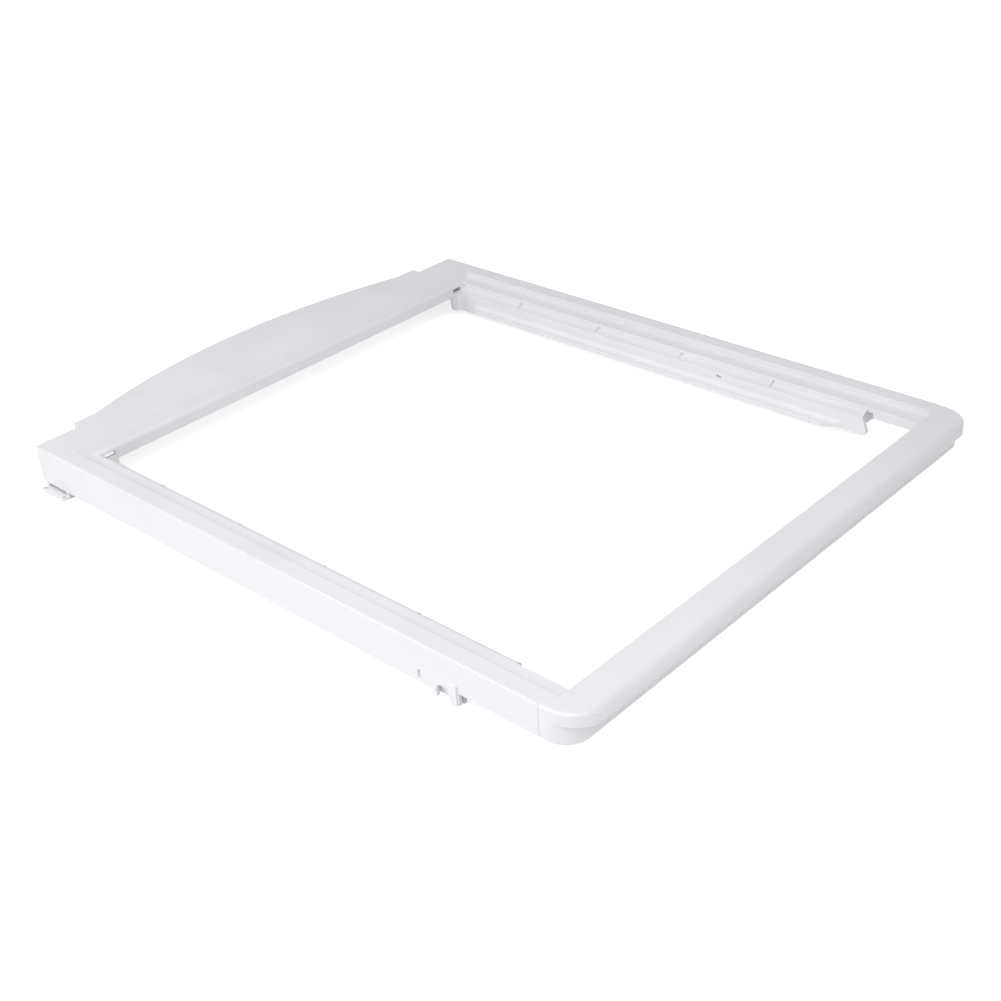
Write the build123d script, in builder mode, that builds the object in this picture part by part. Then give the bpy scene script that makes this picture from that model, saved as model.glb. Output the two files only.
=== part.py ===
from build123d import *
import os

os.makedirs("parts", exist_ok=True)

# Crisper drawer cover, moulded frame that carries a glass pane and hangs a drawer, sizes in mm
frame_width = 430.0
body_depth = 500.0
height = 33.0
wall = 2.4
overlap = 0.6

# Rounded nose along the front and the skirt set back under it
nose_overhang = 8.0
nose_height = 9.0
nose_radius = 6.5
nose_under_radius = 2.2
nose_edge_radius = 2.0
nose_length = 22.0
nose_inset = 0.15
nose_skin = 3.0
front_corner_radius = 16.0
skirt_depth = 22.0
front_rib_count = 7

# Seat for the glass pane
flange_width = 12.5
ledge_width = 12.5
glass_recess = 4.7
lip_edge = 17.4
lip_thickness = 1.6
slot_drop = 0.7
slot_reach = 9.0
slot_floor_setback = 2.4
ledge_edge_depth = 8.8
side_edge_radius = 1.2

# Back rail, the ramp down to its ledge, its stepped edge and the arched bulge behind it
back_rail = 41.0
back_ledge = 4.0
back_ramp = 6.0
back_ledge_radius = 2.0
back_wall_depth = 14.0
back_window_width = 9.0
back_window_height = 3.4
back_window_inset = 4.5
back_step = 8.0
back_step_inset = 38.0
bulge_rise = 30.0
bulge_end_inset = 19.0
bulge_core_inset = 14.4
bulge_depth = 11.0
bulge_drop = 3.4
back_rib_count = 6

# Side walls, drawer runners and their cross ribs
side_depth = 28.0
runner_start = 62.3
runner_step = 7.0
runner_shelf_drop = 1.6
runner_top = 20.6
runner_reach = 7.0
runner_fillet = 3.5
runner_lip_height = 3.6
runner_lip_width = 2.0
runner_lip_rise = 0.7
runner_end_radius = 6.0
runner_taper = 14.0
runner_taper_radius = 12.0
hook_lead = 5.0
hook_length = 15.0
hook_slope = 8.0
hook_depth = 24.6
hook_radius = 3.5
tongue_depth = 27.5
tongue_radius = 5.0
tongue_length = 22.9
tongue_return = 8.0
tongue_bend = 3.0
front_block_depth = 12.8
front_block_gap = 4.3
rib_count = 4
rib_start = 142.0
rib_pitch = 83.3
rib_depth = 17.5
gusset_rise = 2.6
gusset_toe = 0.4

# Clips and feet under the side walls
clip_start = 82.0
clip_rear_start = 100.0
clip_rear_width = 3.5
clip_front_width = 8.0
clip_radius = 1.2
clip_front_lift = 1.6
clip_arch_top = 22.6
clip_rib_width = 5.0
clip_rib_top = 17.0
clip_rib_proud = 1.0
clip_pocket = 1.5
peg_slot_gap = 8.0
peg_slot_width = 3.0
peg_slot_height = 6.0
peg_slot_depth = 1.2
foot_length = 28.0
foot_thickness = 2.0
foot_reach = 5.5
foot_inside = 7.0
foot_radius = 1.5
foot_setback = 4.0
foot_post = 3.0
foot_hole = 2.2
foot_hole_inset = 2.6

# Small moulded details
detent_y = 186.0
detent_width = 4.5
detent_height = 1.8
detent_drop = 2.4
nub_y = 103.0
nub_width = 4.0
nub_proud = 0.8
tab_centre_x = -9.0
tab_spacing = 16.5
tab_width = 3.0
tab_proud = 1.5
tab_height = 4.0

# Positions that follow from the sizes
half = frame_width / 2
y_front = (nose_overhang - body_depth - back_step - bulge_rise) / 2
y_nose = y_front - nose_overhang
y_seam = y_front + nose_length
y_lip = y_front + lip_edge
y_back = y_front + body_depth
y_step = y_back + back_step
y_opening = y_back - back_rail
y_ramp = y_opening + back_ledge
y_recess = y_ramp + back_ramp
x_recess = half - flange_width
x_opening = x_recess - ledge_width
x_inside = half - wall
x_web = x_opening - runner_step
x_lip = x_web - runner_reach
step_half = half - back_step_inset
bulge_half = step_half - bulge_end_inset
bulge_core = bulge_half - bulge_core_inset
z_top = height
z_ledge = z_top - glass_recess
z_nose = z_top - nose_height
z_edge = z_top - ledge_edge_depth
z_shelf = z_edge - runner_shelf_drop
z_runner = z_top - runner_top
z_lip = z_runner + runner_lip_rise - runner_lip_height
z_hook = z_top - hook_depth
z_tongue = z_top - tongue_depth
z_slot = z_ledge - slot_drop
y_hook = y_front + runner_start
y_shelf_end = y_opening
y_tongue = y_opening + wall
y_flange = y_hook + hook_length
y_flange_end = y_tongue - tongue_length
z_wall_foot = z_top - back_wall_depth
z_window = z_ledge - wall - back_window_height / 2
y_clip = y_front + clip_start
y_clip_end = y_front + clip_rear_start + clip_rear_width
z_clip_rib = z_top - clip_rib_top
clip_height = z_top - skirt_depth + overlap
notch_width = y_clip_end - clip_rear_width - y_clip - clip_front_width
y_notch = y_clip + clip_front_width + notch_width / 2
z_notch = z_top - clip_arch_top - notch_width / 2
y_peg = y_clip_end + peg_slot_gap + peg_slot_width / 2
y_foot = y_back - foot_setback - foot_length / 2

# Nose: hollow cap, fully rounded along the front and with a smaller edge round both corners
with BuildPart() as nose:
    with BuildSketch(Plane.XY.offset(z_nose)) as nose_plan:
        with Locations((0, (y_nose + y_seam) / 2)):
            Rectangle(frame_width - 2 * nose_inset, y_seam - y_nose)
        fillet(nose_plan.vertices().group_by(Axis.Y)[0], front_corner_radius + nose_overhang)
    extrude(amount=nose_height)
    upper = nose.faces().sort_by(Axis.Z)[-1].edges().filter_by(lambda e: e.center().Y < y_seam - 0.1)
    fillet(upper, nose_edge_radius)
    # Round the whole length of the front edge over, above and below
    with BuildSketch(Plane.YZ.offset(-half)):
        with BuildLine():
            RadiusArc((y_nose + nose_radius, z_top), (y_nose, z_top - nose_radius), -nose_radius)
            Polyline(
                (y_nose, z_top - nose_radius),
                (y_nose - wall, z_top - nose_radius),
                (y_nose - wall, z_top + wall),
                (y_nose + nose_radius, z_top + wall),
                (y_nose + nose_radius, z_top),
            )
        make_face()
        with BuildLine():
            RadiusArc(
                (y_nose, z_nose + nose_under_radius),
                (y_nose + nose_under_radius, z_nose),
                -nose_under_radius,
            )
            Polyline(
                (y_nose + nose_under_radius, z_nose),
                (y_nose + nose_under_radius, z_nose - wall),
                (y_nose - wall, z_nose - wall),
                (y_nose - wall, z_nose + nose_under_radius),
                (y_nose, z_nose + nose_under_radius),
            )
        make_face()
    extrude(amount=frame_width, mode=Mode.SUBTRACT)
    # Core that keeps the wall even
    with BuildSketch(Plane.XY.offset(z_nose)) as nose_core:
        with Locations((0, (y_front + wall + y_seam + overlap) / 2)):
            Rectangle(frame_width - 2 * nose_inset - 2 * wall, nose_length - wall + overlap)
        fillet(nose_core.vertices().group_by(Axis.Y)[0], front_corner_radius - wall)
    extrude(amount=nose_height - nose_skin, mode=Mode.SUBTRACT)

# Right rail: drawer runner, cross ribs, clip and foot
with BuildPart() as rail:
    # Runner: sloping shelf below the ledge, web, and inward flange with a lip for the drawer rim
    with BuildSketch(Plane.XZ.offset(-y_shelf_end)) as runner_end:
        with BuildLine():
            Polyline(
                (x_opening + wall, z_edge + overlap),
                (x_opening, z_edge + overlap),
                (x_opening, z_edge),
                (x_web, z_shelf),
                (x_web, z_runner),
                (x_lip + runner_lip_width, z_runner),
                (x_lip + runner_lip_width / 2, z_runner + runner_lip_rise),
                (x_lip, z_runner + runner_lip_rise),
                (x_lip, z_lip),
                (x_lip + runner_lip_width, z_lip),
                (x_lip + runner_lip_width, z_runner - wall),
                (x_web + wall, z_runner - wall),
                (x_web + wall, z_shelf - wall),
                (x_opening + wall, z_edge - wall),
                close=True,
            )
        make_face()
        root = runner_end.vertices().sort_by_distance((x_web, z_runner, 0))[0]
        fillet(root, runner_fillet)
    extrude(amount=y_shelf_end - y_hook)
    # Taper the flange in front and round it off behind, in plan
    with BuildSketch(Plane.XY) as flange_ends:
        with Locations(((x_lip + x_web) / 2 - wall, (y_hook + y_shelf_end) / 2)):
            Rectangle(x_web - x_lip + 2 * wall, y_shelf_end - y_hook + 2 * wall)
        with BuildLine():
            Polyline(
                (x_web + runner_reach, y_flange),
                (x_web, y_flange),
                (x_lip, y_flange + runner_taper),
                (x_lip, y_flange_end),
                (x_web + runner_reach, y_flange_end),
                close=True,
            )
        make_face(mode=Mode.SUBTRACT)
        shoulder = flange_ends.vertices().sort_by_distance((x_lip, y_flange + runner_taper, 0))[0]
        fillet(shoulder, runner_taper_radius)
        heel = flange_ends.vertices().sort_by_distance((x_lip, y_flange_end, 0))[0]
        fillet(heel, runner_end_radius)
    extrude(amount=z_shelf, mode=Mode.SUBTRACT)
    # Web ends: a hook in front and a deeper tongue behind
    with BuildSketch(Plane.YZ.offset(x_web)) as web_ends:
        with BuildLine():
            Polyline(
                (y_hook, z_shelf),
                (y_hook - hook_lead, z_hook),
                (y_hook - hook_lead + hook_length, z_hook),
                (y_hook - hook_lead + hook_length + hook_slope, z_runner - wall),
                (y_hook - hook_lead + hook_length + hook_slope, z_shelf),
                close=True,
            )
        make_face()
        with BuildLine():
            Polyline(
                (y_flange_end - wall, z_shelf),
                (y_flange_end - wall, z_runner - wall),
                (y_flange_end + wall, z_tongue),
                (y_tongue, z_tongue),
                (y_tongue, z_shelf),
                close=True,
            )
        make_face()
        low = web_ends.vertices().filter_by(lambda v: v.Y < z_hook + 0.1)
        fillet(low.filter_by(lambda v: v.X < 0), hook_radius)
    extrude(amount=wall)
    # Return of the tongue along the back rail, joined by a soft bend
    with BuildSketch(Plane.XZ.offset(-y_tongue)) as tongue_face:
        with BuildLine():
            Polyline(
                (x_web - tongue_return, z_wall_foot + overlap),
                (x_web - tongue_return, z_tongue),
                (x_web + wall, z_tongue),
                (x_web + wall, z_wall_foot + overlap),
                close=True,
            )
        make_face()
        toe = tongue_face.vertices().sort_by_distance((x_web - tongue_return, z_tongue, 0))[0]
        fillet(toe, tongue_radius)
    extrude(amount=wall)
    inner_corner = (x_web, y_opening, (z_tongue + z_wall_foot) / 2)
    fillet(rail.edges().filter_by(Axis.Z).sort_by_distance(inner_corner)[0], tongue_bend)
    # Cross ribs, whose inner ends stand on the shelf as small gussets
    for rib_y in [y_hook] + [y_front + rib_start + bay * rib_pitch for bay in range(rib_count)]:
        with BuildSketch(Plane.XZ.offset(-rib_y - wall)):
            with BuildLine():
                Polyline(
                    (x_opening, z_ledge - wall / 2),
                    (x_opening, z_edge + gusset_rise),
                    (x_web, z_shelf + gusset_toe),
                    (x_web, z_shelf - wall),
                    (x_opening, z_top - rib_depth),
                    (x_inside + overlap, z_top - rib_depth),
                    (x_inside + overlap, z_top - wall / 2),
                    (x_recess + wall / 2, z_top - wall / 2),
                    (x_recess + wall / 2, z_ledge - wall / 2),
                    close=True,
                )
            make_face()
        extrude(amount=wall)
    # Clip under the outer wall: two prongs with an arched notch between them, the front one ribbed
    with BuildSketch(Plane.YZ.offset(x_inside)) as clip_side:
        with Locations(((y_clip + y_clip_end) / 2, clip_height / 2)):
            Rectangle(y_clip_end - y_clip, clip_height)
        with Locations((y_notch, 0)):
            Rectangle(notch_width, 2 * z_notch, mode=Mode.SUBTRACT)
        with Locations((y_notch, z_notch)):
            Circle(notch_width / 2, mode=Mode.SUBTRACT)
        with Locations((y_clip + clip_front_width / 2, 0)):
            Rectangle(clip_front_width, 2 * clip_front_lift, mode=Mode.SUBTRACT)
        fillet(clip_side.vertices().filter_by(lambda v: v.Y < clip_front_lift + 0.1), clip_radius)
    extrude(amount=wall)
    with BuildSketch(Plane.YZ.offset(half - overlap)) as clip_rib:
        with Locations((y_clip + clip_radius + clip_rib_width / 2, (z_clip_rib + clip_front_lift) / 2)):
            Rectangle(clip_rib_width, z_clip_rib - clip_front_lift)
        fillet(clip_rib.vertices(), clip_radius)
    extrude(amount=overlap + clip_rib_proud)
    # Inner wall of the clip's pocket, closely behind the notch
    with BuildSketch(Plane.YZ.offset(x_inside - clip_pocket - wall)):
        with Locations(((y_clip + y_clip_end) / 2, (clip_front_lift + z_top - wall / 2) / 2)):
            Rectangle(y_clip_end - y_clip, z_top - wall / 2 - clip_front_lift)
    extrude(amount=wall)
    # Foot under the back corner, held by a short post at each end and pierced beside them
    with BuildSketch(Plane.XY) as foot_plan:
        with Locations((half + (foot_reach - foot_inside) / 2, y_foot)):
            Rectangle(foot_reach + foot_inside, foot_length)
        fillet(foot_plan.vertices().group_by(Axis.X)[-1], foot_radius)
        for side in (-1, 1):
            with Locations((half + foot_reach / 2, y_foot + side * (foot_length / 2 - foot_hole_inset))):
                Rectangle(foot_hole, foot_hole, mode=Mode.SUBTRACT)
    extrude(amount=foot_thickness)
    with BuildSketch(Plane.XY):
        for side in (-1, 1):
            with Locations((half - foot_inside / 2, y_foot + side * (foot_length - foot_post) / 2)):
                Rectangle(foot_inside, foot_post)
    extrude(amount=z_top - side_depth + wall)
    # Nub on the lip that the drawer rides over
    with BuildSketch(Plane.YZ.offset(x_lip - nub_proud)):
        with Locations((y_front + nub_y, z_runner - runner_lip_height / 2)):
            Rectangle(nub_width, runner_lip_height - 2 * overlap)
    extrude(amount=nub_proud + overlap)
    # Detent hole through the web
    with BuildSketch(Plane.YZ.offset(x_web - overlap)):
        with Locations((y_front + detent_y, z_shelf - detent_drop - detent_height / 2)):
            SlotOverall(detent_width, detent_height)
    extrude(amount=wall + 2 * overlap, mode=Mode.SUBTRACT)

# Cover frame: everything is one moulding
with BuildPart() as cover:
    # Outer wall behind the nose, deeper behind the clips
    for bottom, start in ((skirt_depth, y_seam), (side_depth, y_clip_end)):
        with BuildSketch(Plane.XY.offset(z_top - bottom)):
            with Locations((0, (y_front + y_back) / 2)):
                Rectangle(frame_width, body_depth)
            with Locations((0, y_back)):
                Rectangle(2 * step_half, 2 * back_step)
            offset(amount=-wall, kind=Kind.INTERSECTION, mode=Mode.SUBTRACT)
            with Locations((0, (start + y_step) / 2)):
                Rectangle(frame_width, y_step - start, mode=Mode.INTERSECT)
        extrude(amount=bottom)
    # Top face
    with BuildSketch(Plane.XY.offset(z_top - wall)):
        with Locations((0, (y_seam + y_back) / 2)):
            Rectangle(frame_width, y_back - y_seam)
        with Locations((0, y_back)):
            Rectangle(2 * step_half, 2 * back_step)
    extrude(amount=wall)
    long_edges = cover.edges().filter_by(Axis.Y).filter_by(lambda e: e.center().Z > z_top - 0.1)
    fillet(long_edges.filter_by(lambda e: abs(e.center().X) > half - 0.1), side_edge_radius)
    # Skirt under the nose
    with BuildSketch(Plane.XY.offset(z_top - skirt_depth)) as skirt_plan:
        with Locations((0, y_front + nose_length)):
            Rectangle(frame_width - 2 * nose_inset, 2 * nose_length)
        fillet(skirt_plan.vertices().group_by(Axis.Y)[0], front_corner_radius)
        offset(amount=-wall, kind=Kind.INTERSECTION, mode=Mode.SUBTRACT)
        with Locations((0, (y_front + y_seam + overlap) / 2)):
            Rectangle(frame_width, nose_length + overlap, mode=Mode.INTERSECT)
    extrude(amount=skirt_depth - nose_height + nose_skin)
    add(nose.part)
    # Rebate wall and ledge under the pane
    with BuildSketch(Plane.XY.offset(z_ledge - wall)):
        with Locations((0, (y_lip + y_recess + wall) / 2)):
            Rectangle(2 * (x_recess + wall), y_recess + wall - y_lip)
    extrude(amount=glass_recess)
    # Deep edge of the ledge along both sides
    with BuildSketch(Plane.XY.offset(z_edge)):
        with Locations((0, (y_lip + y_shelf_end) / 2)):
            Rectangle(2 * (x_opening + wall), y_shelf_end - y_lip)
    extrude(amount=ledge_edge_depth - glass_recess)
    # Deeper blocks beside the front lip
    with BuildSketch(Plane.XY.offset(z_top - front_block_depth)):
        with Locations((0, (y_lip + y_hook - front_block_gap) / 2)):
            Rectangle(2 * (x_opening + wall), y_hook - front_block_gap - y_lip)
    extrude(amount=front_block_depth - glass_recess)
    # Inner face of the back rail
    with BuildSketch(Plane.XY.offset(z_wall_foot)):
        with Locations((0, y_opening + wall / 2)):
            Rectangle(2 * (x_opening + wall), wall)
    extrude(amount=back_wall_depth - glass_recess)
    # Slot under the front lip for the front edge of the pane, and gussets below it
    with BuildSketch(Plane.XY.offset(z_slot - wall)):
        with Locations((0, (y_lip - slot_reach - wall + y_lip - slot_floor_setback) / 2)):
            Rectangle(2 * (x_recess + wall), slot_reach + wall - slot_floor_setback)
    extrude(amount=glass_recess + slot_drop)
    for index in range(front_rib_count):
        rib_x = -x_opening + (index + 0.5) * 2 * x_opening / front_rib_count
        with BuildSketch(Plane.YZ.offset(rib_x - wall / 2)):
            with BuildLine():
                Polyline(
                    (y_front + wall / 2, z_slot - wall / 2),
                    (y_front + wall / 2, z_top - skirt_depth + wall),
                    (y_lip - slot_floor_setback, z_slot - wall / 2),
                    close=True,
                )
            make_face()
        extrude(amount=wall)
    # Clear the pane's recess with its ramp, its front slot and the opening
    with BuildSketch(Plane.YZ.offset(-x_recess)):
        with BuildLine():
            Polyline(
                (y_lip, z_ledge),
                (y_ramp, z_ledge),
                (y_recess, z_top),
                (y_recess, z_top + wall),
                (y_lip, z_top + wall),
                close=True,
            )
        make_face()
    extrude(amount=2 * x_recess, mode=Mode.SUBTRACT)
    with BuildSketch(Plane.XY.offset(z_slot)):
        with Locations((0, y_lip - slot_reach / 2)):
            Rectangle(2 * x_recess, slot_reach)
    extrude(amount=glass_recess + slot_drop - lip_thickness, mode=Mode.SUBTRACT)
    with BuildSketch(Plane.XY):
        with Locations((0, (y_lip + y_opening) / 2)):
            Rectangle(2 * x_opening, y_opening - y_lip)
    extrude(amount=z_top + wall, mode=Mode.SUBTRACT)
    back_edge = cover.edges().filter_by(Axis.X).filter_by(
        lambda e: abs(e.center().Y - y_opening) < 0.1 and abs(e.center().Z - z_ledge) < 0.1
    )
    fillet(back_edge, back_ledge_radius)
    # Window through the inner face of the back rail at each corner
    with BuildSketch(Plane.XZ.offset(-y_tongue - overlap)):
        for side in (-1, 1):
            with Locations((side * (x_opening - back_window_inset - back_window_width / 2), z_window)):
                Rectangle(back_window_width, back_window_height)
    extrude(amount=wall + 2 * overlap, mode=Mode.SUBTRACT)
    # Ribs inside the back rail
    for index in range(back_rib_count):
        rib_x = -step_half + (index + 0.5) * 2 * step_half / back_rib_count
        with BuildSketch(Plane.YZ.offset(rib_x - wall / 2)):
            with BuildLine():
                Polyline(
                    (y_opening + wall / 2, z_ledge - wall / 2),
                    (y_opening + wall / 2, z_wall_foot),
                    (y_step - wall / 2, z_wall_foot),
                    (y_step - wall / 2, z_top - wall / 2),
                    (y_recess + wall / 2, z_top - wall / 2),
                    (y_recess + wall / 2, z_ledge - wall / 2),
                    close=True,
                )
            make_face()
        extrude(amount=wall)
    # Arched bulge, sloping down towards its rim, with a hollow underside
    with BuildSketch(Plane.XY.offset(z_top - bulge_depth)):
        with BuildLine():
            ThreePointArc((-bulge_half, y_step), (0, y_step + bulge_rise), (bulge_half, y_step))
            Polyline(
                (bulge_half, y_step),
                (bulge_half, y_step - overlap),
                (-bulge_half, y_step - overlap),
                (-bulge_half, y_step),
            )
        make_face()
    extrude(amount=bulge_depth)
    with BuildSketch(Plane.YZ.offset(-half)):
        with BuildLine():
            Polyline(
                (y_step, z_top),
                (y_step + bulge_rise, z_top - bulge_drop),
                (y_step + bulge_rise, z_top + wall),
                (y_step, z_top + wall),
                close=True,
            )
        make_face()
    extrude(amount=frame_width, mode=Mode.SUBTRACT)
    with BuildSketch(Plane.XY.offset(z_top - bulge_depth)):
        with BuildLine():
            ThreePointArc((-bulge_core, y_step), (0, y_step + bulge_rise - wall), (bulge_core, y_step))
            Line((bulge_core, y_step), (-bulge_core, y_step))
        make_face()
    extrude(amount=bulge_depth - bulge_drop - wall, mode=Mode.SUBTRACT)
    # Both rails
    add(rail.part)
    mirror(rail.part, about=Plane.YZ)
    # Shallow pocket in each side wall behind its clip
    for side in (-1, 1):
        with BuildSketch(Plane.YZ.offset(side * half)):
            with Locations((y_peg, z_clip_rib - wall - peg_slot_height / 2)):
                Rectangle(peg_slot_width, peg_slot_height)
        extrude(amount=-side * peg_slot_depth, mode=Mode.SUBTRACT)
    # Two small tabs under the edge of the back ledge
    with BuildSketch(Plane.XY.offset(z_ledge - back_ledge_radius - tab_height)):
        for side in (-1, 1):
            with Locations((tab_centre_x + side * tab_spacing / 2, y_opening - tab_proud / 2 + overlap / 2)):
                Rectangle(tab_width, tab_proud + overlap)
    extrude(amount=tab_height)

cover.part.label = "cover_frame"
export_step(cover.part, "parts/cover_frame.step")
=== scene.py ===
import math

import bpy
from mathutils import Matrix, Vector

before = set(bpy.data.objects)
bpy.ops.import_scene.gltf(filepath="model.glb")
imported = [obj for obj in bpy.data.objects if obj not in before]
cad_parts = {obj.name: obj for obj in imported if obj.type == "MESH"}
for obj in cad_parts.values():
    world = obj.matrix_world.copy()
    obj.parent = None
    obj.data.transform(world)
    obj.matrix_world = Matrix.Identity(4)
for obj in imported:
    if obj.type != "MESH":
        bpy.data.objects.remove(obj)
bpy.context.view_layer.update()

# Cover frame: one injection moulding in white high-impact polystyrene. The rounded front rail, the
# stepped seat for the pane, the arched back rail, the runners, the clips and the feet all come out
# of one steel tool.
MM = 0.001
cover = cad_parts["cover_frame"]


def linear(hex_colour):
    """An sRGB hex colour as linear red, green, blue and alpha."""
    parts = [int(hex_colour[i : i + 2], 16) / 255 for i in (1, 3, 5)]
    return [c / 12.92 if c <= 0.04045 else ((c + 0.055) / 1.055) ** 2.4 for c in parts] + [1.0]


def put(tree, kind, settings=None, links=None):
    """Adds one node to a tree, with its settings and the outputs that feed its inputs."""
    node = tree.nodes.new(kind)
    for name, value in (settings or {}).items():
        if name in node.inputs:
            node.inputs[name].default_value = value
        else:
            setattr(node, name, value)
    for socket, source in (links or {}).items():
        tree.links.new(source, node.inputs[socket])
    return node


# High-impact polystyrene, moulded against a fine-blasted steel tool: a cool white with a satin sheen.
# The tool's grain breaks up the highlight, and slow flow marks shift the tint and gloss a little. Its
# sharp edges come out of the tool with a small radius, which catches the light as a soft line.
edge_radius = 0.4 * MM
edge_samples = 6
tool_grain = 0.6 * MM
grain_depth = 0.03 * MM
grain_strength = 0.1
grain_detail = 2.0
flow_mark = 45.0 * MM
flow_detail = 1.0
flow_low, flow_high = 0.35, 0.65
satin, duller_satin = 0.42, 0.50
cool_white, paler_white = "#E8E7EA", "#EBEAED"
polystyrene_ior = 1.59
polystyrene = bpy.data.materials.new("white_high_impact_polystyrene")
polystyrene.use_nodes = True
tree = polystyrene.node_tree
tree.nodes.clear()
place = put(tree, "ShaderNodeTexCoord").outputs["Object"]
grain = put(tree, "ShaderNodeTexNoise", {"Scale": 1 / tool_grain, "Detail": grain_detail}, {"Vector": place})
flow = put(tree, "ShaderNodeTexNoise", {"Scale": 1 / flow_mark, "Detail": flow_detail}, {"Vector": place})
gloss = put(
    tree,
    "ShaderNodeMapRange",
    {"From Min": flow_low, "From Max": flow_high, "To Min": satin, "To Max": duller_satin},
    {"Value": flow.outputs["Fac"]},
)
tint = put(tree, "ShaderNodeValToRGB", None, {"Fac": flow.outputs["Fac"]})
tint_stops = ((flow_low, cool_white), (flow_high, paler_white))
for stop, (position, colour) in zip(tint.color_ramp.elements, tint_stops):
    stop.position = position
    stop.color = linear(colour)
soft_edges = put(tree, "ShaderNodeBevel", {"samples": edge_samples, "Radius": edge_radius})
relief = put(
    tree,
    "ShaderNodeBump",
    {"Strength": grain_strength, "Distance": grain_depth},
    {"Height": grain.outputs["Fac"], "Normal": soft_edges.outputs["Normal"]},
)
skin = put(
    tree,
    "ShaderNodeBsdfPrincipled",
    {"IOR": polystyrene_ior},
    {
        "Base Color": tint.outputs["Color"],
        "Roughness": gloss.outputs["Result"],
        "Normal": relief.outputs["Normal"],
    },
)
put(tree, "ShaderNodeOutputMaterial", None, {"Surface": skin.outputs["BSDF"]})
cover.data.materials.clear()
cover.data.materials.append(polystyrene)

# Floor: a plain white studio sweep, a hair below the feet. It glows a little for the camera and in
# reflections, so that it reads as white without lighting the cover, and it keeps a faint shadow.
# From below it is open, so that the underside of the cover can be seen.
floor_half = 6.0
floor_drop = 0.1 * MM
floor_glow = 0.7
corners = [(x, y, 0.0) for x, y in ((-1, -1), (1, -1), (1, 1), (-1, 1))]
floor_mesh = bpy.data.meshes.new("studio_floor")
floor_mesh.from_pydata([Vector(corner) * floor_half for corner in corners], [], [(0, 1, 2, 3)])
floor = bpy.data.objects.new("studio_floor", floor_mesh)
bpy.context.scene.collection.objects.link(floor)
floor.location.z = -floor_drop
sweep = bpy.data.materials.new("matt_white_sweep")
sweep.use_nodes = True
tree = sweep.node_tree
tree.nodes.clear()
path = put(tree, "ShaderNodeLightPath").outputs
larger = {"operation": "MAXIMUM"}
seen = put(tree, "ShaderNodeMath", larger, {0: path["Is Camera Ray"], 1: path["Is Glossy Ray"]})
seen = put(tree, "ShaderNodeMath", larger, {0: seen.outputs[0], 1: path["Is Transmission Ray"]})
matt = put(tree, "ShaderNodeBsdfDiffuse", {"Color": linear("#F4F4F4")})
glow = put(tree, "ShaderNodeEmission", {"Color": linear("#FFFFFF"), "Strength": floor_glow})
lit = put(tree, "ShaderNodeAddShader", None, {0: matt.outputs[0], 1: glow.outputs[0]})
paper = put(
    tree, "ShaderNodeMixShader", None, {"Fac": seen.outputs[0], 1: matt.outputs[0], 2: lit.outputs[0]}
)
below = put(tree, "ShaderNodeNewGeometry").outputs["Backfacing"]
gap = put(tree, "ShaderNodeBsdfTransparent")
one_sided = put(
    tree, "ShaderNodeMixShader", None, {"Fac": below, 1: paper.outputs[0], 2: gap.outputs[0]}
)
put(tree, "ShaderNodeOutputMaterial", None, {"Surface": one_sided.outputs[0]})
floor_mesh.materials.append(sweep)

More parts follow.
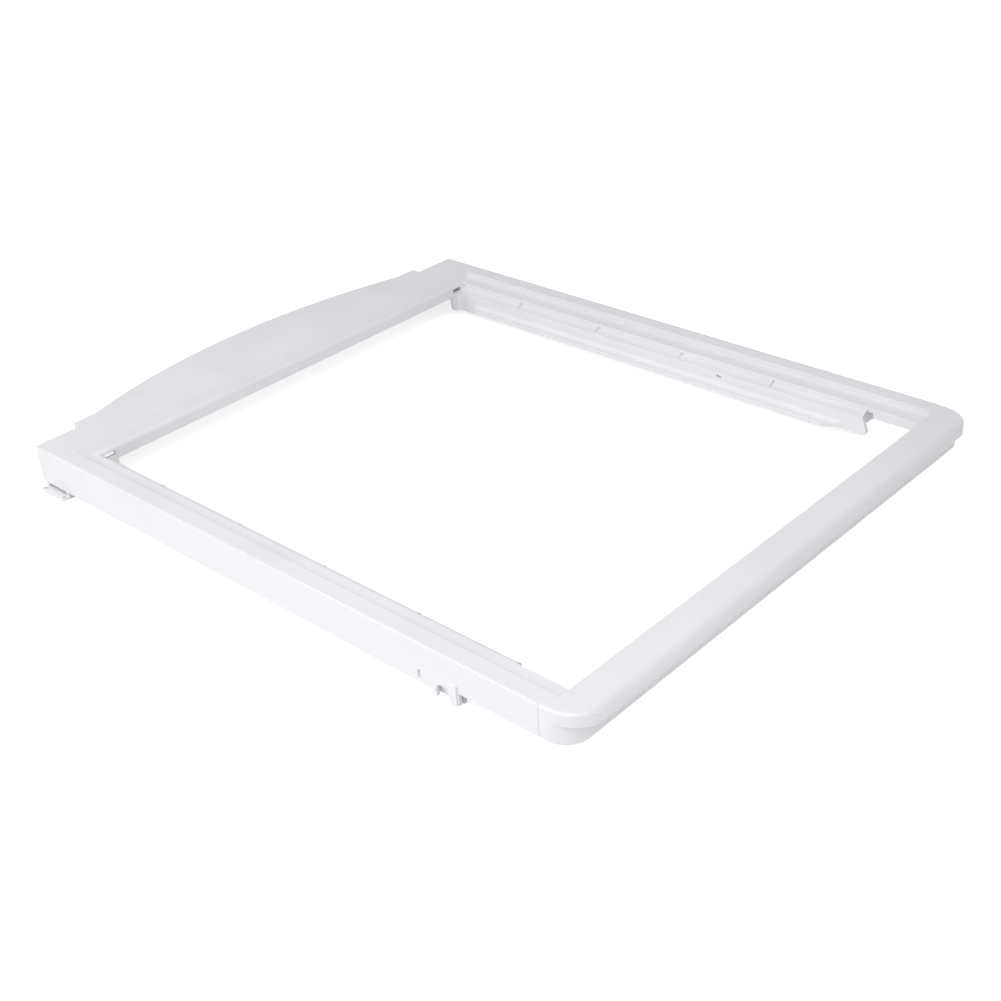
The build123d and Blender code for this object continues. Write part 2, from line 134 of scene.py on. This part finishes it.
# Surround: a dim white studio that fills every side. Behind the floor stands a white backdrop, which
# only the camera and low reflections meet.
fill_strength = 0.48
backdrop_top = 0.45
world = bpy.data.worlds.new("white_surround")
bpy.context.scene.world = world
world.use_nodes = True
tree = world.node_tree
tree.nodes.clear()
path = put(tree, "ShaderNodeLightPath").outputs
direction = put(tree, "ShaderNodeTexCoord").outputs["Generated"]
height = put(tree, "ShaderNodeSeparateXYZ", None, {"Vector": direction}).outputs["Z"]
low = put(
    tree,
    "ShaderNodeMapRange",
    {"From Min": 0.0, "From Max": backdrop_top, "To Min": 1.0, "To Max": 0.0},
    {"Value": height},
)
mirrored = put(
    tree, "ShaderNodeMath", {"operation": "MULTIPLY"}, {0: low.outputs["Result"], 1: path["Is Glossy Ray"]}
)
shown = put(tree, "ShaderNodeMath", larger, {0: path["Is Camera Ray"], 1: mirrored.outputs[0]})
fill = put(tree, "ShaderNodeBackground", {"Color": linear("#FAFAFF"), "Strength": fill_strength})
backdrop = put(tree, "ShaderNodeBackground", {"Color": linear("#FFFFFF"), "Strength": 1.0})
studio = put(
    tree, "ShaderNodeMixShader", None, {"Fac": shown.outputs[0], 1: fill.outputs[0], 2: backdrop.outputs[0]}
)
put(tree, "ShaderNodeOutputWorld", None, {"Surface": studio.outputs[0]})


# Studio lamps: three soft boxes on the left, at the near side, at the back and overhead. The side
# walls that face them are the brightest, the tops fall off to the right, and the faces towards the
# front are the darkest.
def soft_box(name, place, side, power):
    """A square area lamp at a place in metres, turned towards the middle of the cover."""
    lamp = bpy.data.lights.new(name, "AREA")
    lamp.size = side
    lamp.energy = power
    lamp_object = bpy.data.objects.new(name, lamp)
    bpy.context.scene.collection.objects.link(lamp_object)
    lamp_object.location = place
    lamp_object.rotation_euler = (-Vector(place)).to_track_quat("-Z", "Y").to_euler()


soft_box("near_soft_box", (-0.7, -0.45, 0.9), 0.6, 3.6)
soft_box("back_soft_box", (-1.2, 0.9, 0.9), 0.9, 6.2)
soft_box("top_soft_box", (-0.5, -0.2, 1.3), 0.8, 5.0)

# Camera: a moderate lens, looking down on the near left corner from about thirty degrees, with the
# slight roll that the picture has.
lens_mm = 55.06
sensor_mm = 36.0
camera_place = (-0.68527, -0.68138, 0.54302)
camera_turn_deg = (59.184, 3.198, -47.800)
camera_data = bpy.data.cameras.new("viewpoint")
camera_data.lens = lens_mm
camera_data.sensor_width = sensor_mm
camera_data.sensor_fit = "HORIZONTAL"
camera = bpy.data.objects.new("viewpoint", camera_data)
bpy.context.scene.collection.objects.link(camera)
camera.location = camera_place
camera.rotation_euler = [math.radians(a) for a in camera_turn_deg]
bpy.context.scene.camera = camera
bpy.context.scene.view_settings.view_transform = "Standard"
